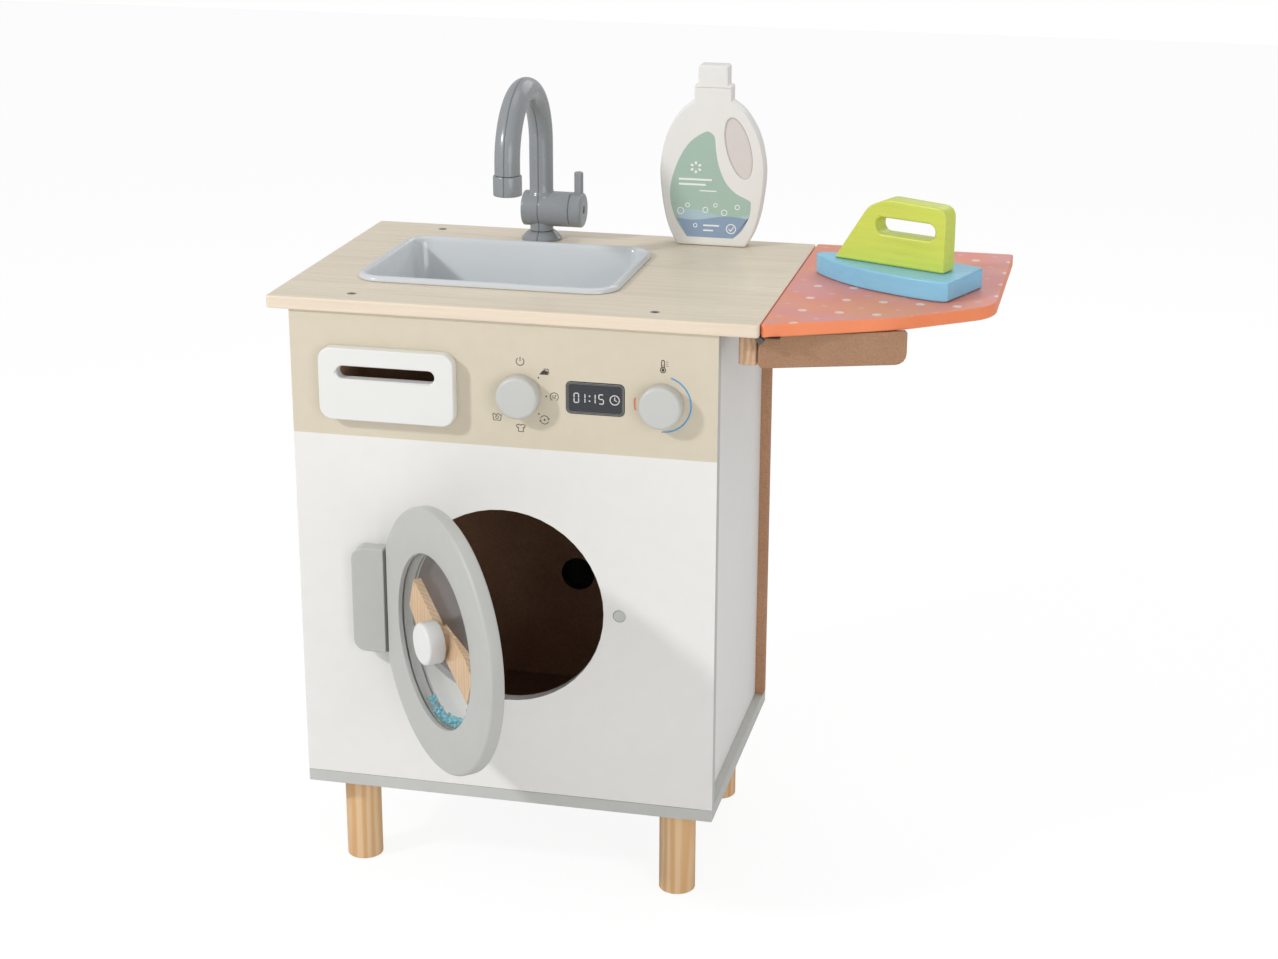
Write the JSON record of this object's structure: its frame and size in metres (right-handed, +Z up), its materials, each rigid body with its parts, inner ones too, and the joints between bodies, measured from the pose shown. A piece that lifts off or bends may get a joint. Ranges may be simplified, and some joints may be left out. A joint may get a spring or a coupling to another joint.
{
  "type": "toy washing machine",
  "caption": "Wooden play washing machine with a hinged drum door, dials, drawer, sink with swivelling tap, fold-out ironing board, toy iron and bottle.",
  "frame": {"origin": "the middle of the toy's footprint at floor level, with the drum door open and the ironing board out", "axes": "+X to the right seen from the front, +Y to the back, +Z up"},
  "size_m": [0.6514, 0.5126, 0.7571],
  "materials": {
    "worktop_laminate": "pale wood-grain laminate",
    "white_panel": "white painted fibreboard",
    "front_panel_paint": "fibreboard painted white, beige in its upper band",
    "base_grey": "grey painted fibreboard",
    "raw_fibreboard": "bare brown fibreboard",
    "pine": "bare sanded pine",
    "door_grey": "grey painted fibreboard",
    "drawer_white": "white painted fibreboard",
    "knob_grey": "grey painted turned wood",
    "knob_white": "white painted turned wood",
    "clear_window": "clear acrylic sheet",
    "hinge_steel": "dark plated steel",
    "screw_steel": "zinc plated steel",
    "display_black": "dark printed plate",
    "cap_black": "black moulded plastic",
    "sink_grey": "grey moulded plastic",
    "tap_grey": "dark grey moulded plastic",
    "board_orange": "orange painted edges, printed salmon top with dots",
    "iron_blue": "light blue painted wood",
    "iron_green": "lime green painted wood",
    "bottle_white": "white painted wood with a printed label",
    "turquoise_beads": "turquoise beads"
  },
  "bodies": {
    "cabinet": {"base_board": "base_grey", "front_panel": "front_panel_paint", "back_panel": "raw_fibreboard", "left_side_panel": "white_panel", "right_side_panel": "white_panel", "worktop": "worktop_laminate", "front_left_leg": "pine", "front_right_leg": "pine", "rear_left_leg": "pine", "rear_right_leg": "pine", "front_cleat": "pine", "rear_cleat": "pine", "worktop_screw_front_left": "screw_steel", "worktop_screw_front_right": "screw_steel", "worktop_screw_rear_left": "screw_steel", "worktop_screw_rear_right": "screw_steel", "door_hinge_block": "door_grey", "door_hinge_fixed_leaf": "hinge_steel", "catch_magnet": "screw_steel", "back_hole_cap": "cap_black", "board_batten": "pine", "display_plate": "display_black", "left_drawer_runner": "pine", "right_drawer_runner": "pine", "front_board_hinge_fixed_leaf": "hinge_steel", "rear_board_hinge_fixed_leaf": "hinge_steel", "bracket_hinge_fixed_leaf": "hinge_steel", "sink_basin": "sink_grey", "tap_flange": "tap_grey"},
    "door": {"door_ring": "door_grey", "door_hinge_moving_leaf": "hinge_steel", "front_pane": "clear_window", "drum_ring": "door_grey", "rear_pane": "clear_window", "door_back_ring": "door_grey", "bead_heap": "turquoise_beads", "door_catch_plate": "screw_steel"},
    "agitator": {"door_knob": "knob_white", "agitator_axle": "screw_steel", "agitator_paddle": "pine"},
    "program_knob": {"program_dial": "knob_grey", "program_dial_spindle": "screw_steel"},
    "temperature_knob": {"temperature_dial": "knob_grey", "temperature_dial_spindle": "screw_steel"},
    "drawer": {"drawer_front": "drawer_white", "drawer_tray": "raw_fibreboard"},
    "tap": {"tap_left_half": "tap_grey", "tap_right_half": "tap_grey", "tap_nozzle": "tap_grey", "tap_knob_screw": "screw_steel"},
    "tap_handle": {"tap_end_knob": "tap_grey", "tap_lever": "tap_grey"},
    "board": {"ironing_board": "board_orange", "front_board_hinge_moving_leaf": "hinge_steel", "rear_board_hinge_moving_leaf": "hinge_steel"},
    "bracket": {"support_bracket": "raw_fibreboard", "bracket_hinge_moving_leaf": "hinge_steel"},
    "iron": {"iron_base": "iron_blue", "iron_handle": "iron_green"},
    "bottle": {"detergent_bottle": "bottle_white"}
  },
  "joints": [
    {"name": "door_swing", "type": "hinge", "parent": "cabinet", "child": "door", "pos_m": [-0.21475, -0.08211, 0.2928], "axis": [0, 0, -1], "range_deg": [-48.8, 66]},
    {"name": "agitator_spin", "type": "hinge", "parent": "door", "child": "agitator", "pos_m": [-0.14255, -0.1655, 0.2928], "axis": [-0.7524, -0.6587, 0], "continuous": true},
    {"name": "program_dial_turn", "type": "hinge", "parent": "cabinet", "child": "program_knob", "pos_m": [-0.08635, -0.0667, 0.4995], "axis": [0, -1, 0], "continuous": true},
    {"name": "temperature_dial_turn", "type": "hinge", "parent": "cabinet", "child": "temperature_knob", "pos_m": [0.04495, -0.0667, 0.4995], "axis": [0, -1, 0], "continuous": true},
    {"name": "drawer_slide", "type": "slide", "parent": "cabinet", "child": "drawer", "axis": [0, -1, 0], "range_m": [0, 0.055]},
    {"name": "tap_swivel", "type": "hinge", "parent": "cabinet", "child": "tap", "pos_m": [-0.14155, 0.21429, 0.587], "axis": [0, 0, 1], "range_deg": [-60, 60]},
    {"name": "tap_handle_turn", "type": "hinge", "parent": "tap", "child": "tap_handle", "pos_m": [-0.104, 0.21429, 0.6092], "axis": [1, 0, 0], "range_deg": [-90, 90]},
    {"name": "board_tip", "type": "hinge", "parent": "cabinet", "child": "board", "pos_m": [0.1312, 0.0949, 0.563], "axis": [0, -1, 0], "range_deg": [0, 3]},
    {"name": "bracket_swing", "type": "hinge", "parent": "cabinet", "child": "bracket", "pos_m": [0.12745, -0.04821, 0.5507], "axis": [0, 0, 1], "range_deg": [0, 71]},
    {"name": "iron_lift", "type": "slide", "parent": "board", "child": "iron", "axis": [0, 0, 1], "range_m": [0, 0.06]},
    {"name": "bottle_lift", "type": "slide", "parent": "cabinet", "child": "bottle", "axis": [0, 0, 1], "range_m": [0, 0.06]}
  ]
}
